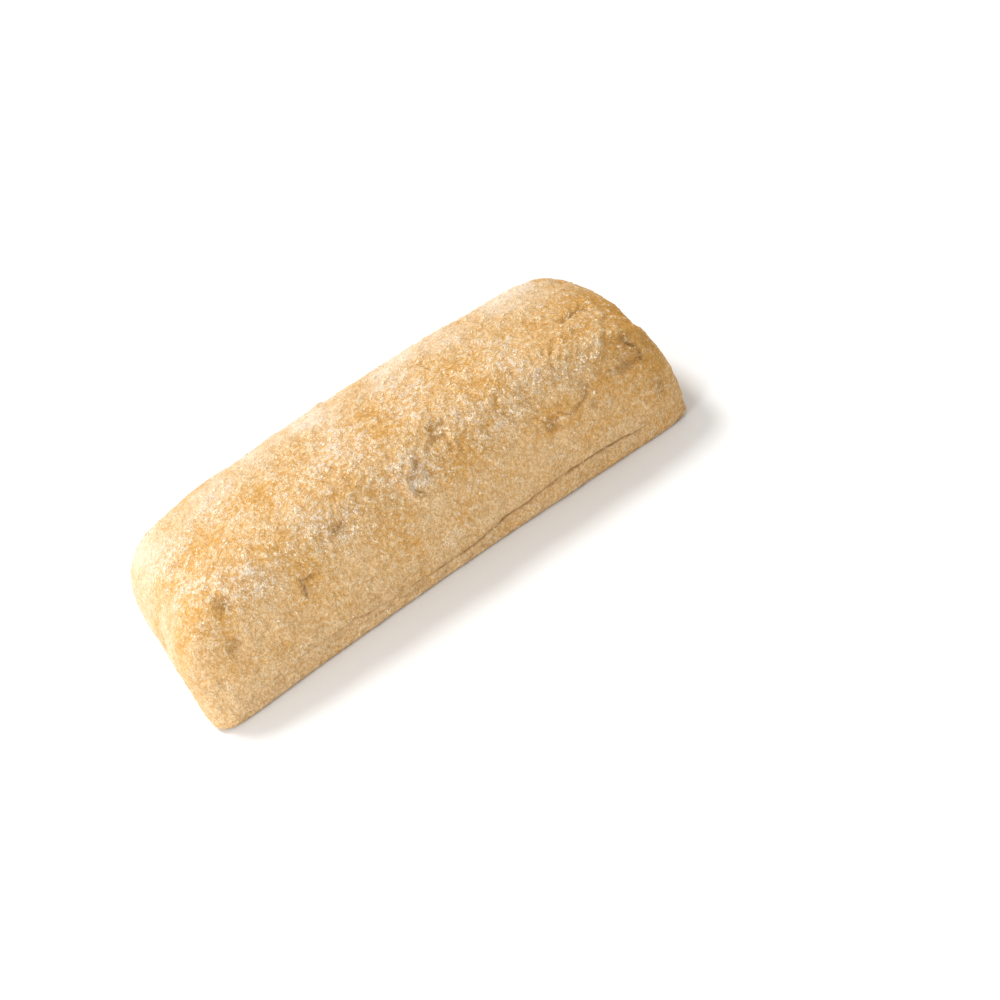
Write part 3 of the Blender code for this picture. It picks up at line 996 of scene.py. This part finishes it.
dust_film = place_group(tree, film_group, Amount=attribute(tree, "dust"), Grain_Scale=1500.0, Edge=0.3)
dust_share = calculate(tree, "MULTIPLY", dust_film.outputs["Mask"], DUST_STRENGTH)
dusted = mix_colours(tree, dust_share, browned, DUST_CREAM)
# the painted highlight is mixed in with the flour's white
painted_highlight_share = calculate(tree, "MULTIPLY", attribute(tree, "painted_highlight"), PAINTED_HIGHLIGHT_STRENGTH)
highlighted = mix_colours(tree, painted_highlight_share, dusted, FLOUR_WHITE)
print(f"dusted: {len(tree.nodes)} nodes by now")

# %% Darken what lies low, with painted shade
VALLEY_SHADE_GOLD = (0.46, 0.23, 0.055, 1)
# the colour of the painted shade in creases, cracks and dents
SHADE_BROWN = (0.26, 0.13, 0.05, 1)
SHADE_STRENGTH = 0.8

grain = place_group(tree, grain_group, Scale=1300.0, Pits=0.4, Wrinkles=0.16)
# golden crust shows between the grains, and it is darkened there as painted shade
shaded_low_places = scaled_range(tree, grain.outputs["Height"], 0.08, 0.38, 0.5, 0.0)
valley_shade_share = scaled_range(tree, attribute(tree, "cover"), 0.0, 0.35, 0.12, 0.55)
valley_lines = calculate(tree, "MULTIPLY", grain.outputs["Valleys"], valley_shade_share)
valley_shade_mask = calculate(tree, "MAXIMUM", shaded_low_places, valley_lines)
# where the painted highlight lies, the low places get no painted shade
bare_share = calculate(tree, "SUBTRACT", 1.0, painted_highlight_share)
bare_valley_shade = calculate(tree, "MULTIPLY", valley_shade_mask, bare_share)
valley_shaded = mix_colours(tree, bare_valley_shade, highlighted, VALLEY_SHADE_GOLD)
# painted shade: creases, cracks and dents darkened in the colour
shade_mask = scaled_range(tree, attribute(tree, "shade"), 0.0, 1.0, 0.0, SHADE_STRENGTH)
shade_darkened = mix_colours(tree, shade_mask, valley_shaded, SHADE_BROWN)
print(f"low places darkened: {len(tree.nodes)} nodes by now")

# %% Lay the flour on
# flour is painted whiter on the lit crown than on the shaded shoulder, which is painted light, and thin
# flour lets the crust's colour through
FLOUR_CREAM = (0.87, 0.68, 0.44, 1)   # thin flour lets the crust's colour through
FILM_STRENGTH = 0.12
CLOD_SHARE = 0.75
GRAIN_STRENGTH = 0.8

film = place_group(tree, film_group, Amount=attribute(tree, "flour"), Grain_Scale=1250.0, Edge=0.3)
film_share = calculate(tree, "MULTIPLY", film.outputs["Mask"], FILM_STRENGTH)
thick_and_lit_flour = scaled_range(tree, attribute(tree, "cover"), 0.20, 0.44)
flour_colour = mix_colours(tree, thick_and_lit_flour, FLOUR_CREAM, FLOUR_WHITE)
filmed = mix_colours(tree, film_share, shade_darkened, flour_colour)
clod_amount = calculate(tree, "MULTIPLY", attribute(tree, "flour"), CLOD_SHARE)
clods = place_group(tree, grains_group, Amount=clod_amount, Scale=850.0)
coarse_grains = place_group(tree, grains_group, Amount=attribute(tree, "flour"), Scale=1200.0)
fine_grains = place_group(tree, grains_group, Amount=attribute(tree, "cover"), Scale=1600.0)
small_grains = calculate(tree, "MAXIMUM", coarse_grains.outputs["Mask"], fine_grains.outputs["Mask"])
grain_mask = calculate(tree, "MAXIMUM", clods.outputs["Mask"], small_grains)
grain_share = calculate(tree, "MULTIPLY", grain_mask, GRAIN_STRENGTH)
floury = mix_colours(tree, grain_share, filmed, flour_colour)
tree.links.new(floury, shader.inputs["Base Color"])
print(f"floured: {len(tree.nodes)} nodes by now")

# %% Bump and finish of the crust
BUMP_DEPTH = 0.6 * MM
CLOD_HEIGHT = 0.42          # each as a share of that depth
COARSE_HEIGHT = 0.26
FINE_HEIGHT = 0.16
CRUST_ROUGHNESS = 0.82
FLOUR_ROUGHNESS = 0.95

clod_height = calculate(tree, "MULTIPLY", clods.outputs["Height"], CLOD_HEIGHT)
coarse_height = calculate(tree, "MULTIPLY", coarse_grains.outputs["Height"], COARSE_HEIGHT)
fine_height = calculate(tree, "MULTIPLY", fine_grains.outputs["Height"], FINE_HEIGHT)
small_height = calculate(tree, "ADD", coarse_height, fine_height)
flour_height = calculate(tree, "ADD", clod_height, small_height)
height = calculate(tree, "ADD", grain.outputs["Height"], flour_height)
bump = add_node(tree, "ShaderNodeBump", {"Height": height, "Strength": 1.0, "Distance": BUMP_DEPTH})
tree.links.new(bump.outputs["Normal"], shader.inputs["Normal"])
rough = scaled_range(tree, film.outputs["Mask"], 0.0, 1.0, CRUST_ROUGHNESS, FLOUR_ROUGHNESS)
tree.links.new(rough, shader.inputs["Roughness"])
print(f"the crust's material has {len(tree.nodes)} nodes")

# %% [markdown]
# ## Loose flour
# Coarse flour also lies in loose clumps, most about half a millimetre across, with shadows of their own.
# A particle system could scatter them. Here they are small rounded stones, all in one mesh, whose places
# are drawn from one seed, more often where the flour map is high. So they lie where the painted flour
# does, and the export has one plain mesh. Each has a turn and a size of its own.

# %% One grain of flour
def grain_stone():
    """The corners and faces of one rounded stone of radius 1."""
    stone = bmesh.new()
    bmesh.ops.create_icosphere(stone, subdivisions=1, radius=1.0)
    corners = np.array([corner.co for corner in stone.verts])
    faces = np.array([[corner.index for corner in face.verts] for face in stone.faces])
    stone.free()
    return corners, faces


stone_corners, stone_faces = grain_stone()
print(f"a grain has {len(stone_corners)} corners and {len(stone_faces)} faces")

# %% Choose where the grains lie
GRAIN_SEED = 21
GRAIN_COUNT = 4500
CLUMP_WIDTH = 2.6 * MM
STRAY_CHANCE = 0.003        # a few grains lie where the map has no flour

middles = read_list(crust_mesh.polygons, "center", 3)
normals = read_list(crust_mesh.polygons, "normal", 3)
areas = read_list(crust_mesh.polygons, "area")
loop_starts = read_list(crust_mesh.polygons, "loop_start", kind=int)
# the maps are read at each face's first corner
face_corner = read_list(crust_mesh.loops, "vertex_index", kind=int)[loop_starts]
clumping = smooth_step(rolling(middles, CLUMP_WIDTH, (9.1, 4.2, 6.3)), -0.15, 0.55)
chance = areas * (STRAY_CHANCE + flour[face_corner] * (0.2 + upper_share[face_corner]) * (0.2 + clumping))
chance *= middles[:, 2] > BASE_RADIUS
draw = np.random.default_rng(GRAIN_SEED)
chosen = draw.choice(len(areas), GRAIN_COUNT, replace=True, p=chance / chance.sum())
print(f"{GRAIN_COUNT} grains lie on {len(np.unique(chosen))} faces")

# %% Turn and size the grains
GRAIN_RADIUS = 0.23 * MM
GRAIN_SPREAD = 0.40             # how much the radius varies
GRAIN_FLATNESS = 0.55
GRAIN_KNOBBLES = (0.75, 1.25)   # how far each corner of a grain is pushed in or out
GRAIN_STRETCH = (0.8, 1.35)
GRAIN_DRIFT = 0.35 * MM         # how far a grain may lie from the middle of its face

up = normals[chosen]
sideways = np.cross(up, draw.normal(size=(GRAIN_COUNT, 3)))
sideways /= np.linalg.norm(sideways, axis=1)[:, None]
forward = np.cross(up, sideways)
radii = GRAIN_RADIUS * np.exp(GRAIN_SPREAD * draw.normal(size=GRAIN_COUNT))
knobbly = stone_corners * draw.uniform(*GRAIN_KNOBBLES, size=(GRAIN_COUNT, len(stone_corners), 1))
stretch = draw.uniform(*GRAIN_STRETCH, size=(GRAIN_COUNT, 1))
turned = (
    knobbly[:, :, 0:1] * (sideways * stretch)[:, None, :]
    + knobbly[:, :, 1:2] * forward[:, None, :]
    + knobbly[:, :, 2:3] * (up * GRAIN_FLATNESS)[:, None, :]
) * radii[:, None, None]
print(f"the largest grain is {2 * radii.max() / MM:.1f} mm across before its stretch")

# %% Scatter the grains
shift = draw.uniform(-GRAIN_DRIFT, GRAIN_DRIFT, size=(GRAIN_COUNT, 2))
seats = middles[chosen] + sideways * shift[:, :1] + forward * shift[:, 1:]
placed = np.clip(turned + seats[:, None, :], roll_low, roll_high)
grain_faces = stone_faces[None] + len(stone_corners) * np.arange(GRAIN_COUNT)[:, None, None]
flour_mesh = bpy.data.meshes.new("loose_flour")
flour_mesh.from_pydata(placed.reshape(-1, 3).tolist(), [], grain_faces.reshape(-1, 3).tolist())
flour_mesh.shade_smooth()
loose_flour = put_in_scene("loose_flour", flour_mesh)
print(f"{GRAIN_COUNT} grains, {len(flour_mesh.polygons)} faces")

# %% Paint the grains
GRAIN_CREAM = (0.90, 0.76, 0.57, 1)
GRAIN_TAN = (0.72, 0.50, 0.26, 1)
GRAIN_BUMP = 0.1 * MM

shader = new_material("loose_flour", flour_mesh, 0.0, FLOUR_ROUGHNESS)
tree = shader.id_data
mottle = place_group(tree, mottle_group, Patch_Scale=600.0, Speckle_Scale=1600.0)
grain_colour = mix_colours(tree, mottle.outputs["Patches"], GRAIN_CREAM, GRAIN_TAN)
tree.links.new(grain_colour, shader.inputs["Base Color"])
grain = place_group(tree, grain_group, Scale=2600.0, Pits=0.2, Wrinkles=0.0)
bump = add_node(
    tree, "ShaderNodeBump", {"Height": grain.outputs["Height"], "Strength": 0.6, "Distance": GRAIN_BUMP},
)
tree.links.new(bump.outputs["Normal"], shader.inputs["Normal"])
print(f"the grains' material has {len(tree.nodes)} nodes")

# %% [markdown]
# ## Place the pieces
# The crust stands in for the plain solid, and the loose flour rides with it. The two boxes are measured,
# and how far the crust's box reaches beyond the imported solid's is printed.

# %% Place the pieces on the roll
for piece in (crust, loose_flour):
    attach(piece, "root")
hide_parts(ROLL)

visual_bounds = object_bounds()
grown = [(new - old) / MM for new, old in zip(visual_bounds[1], cad_bounds[1])]
print("beyond the packed box by (mm):", [round(value, 2) for value in grown])
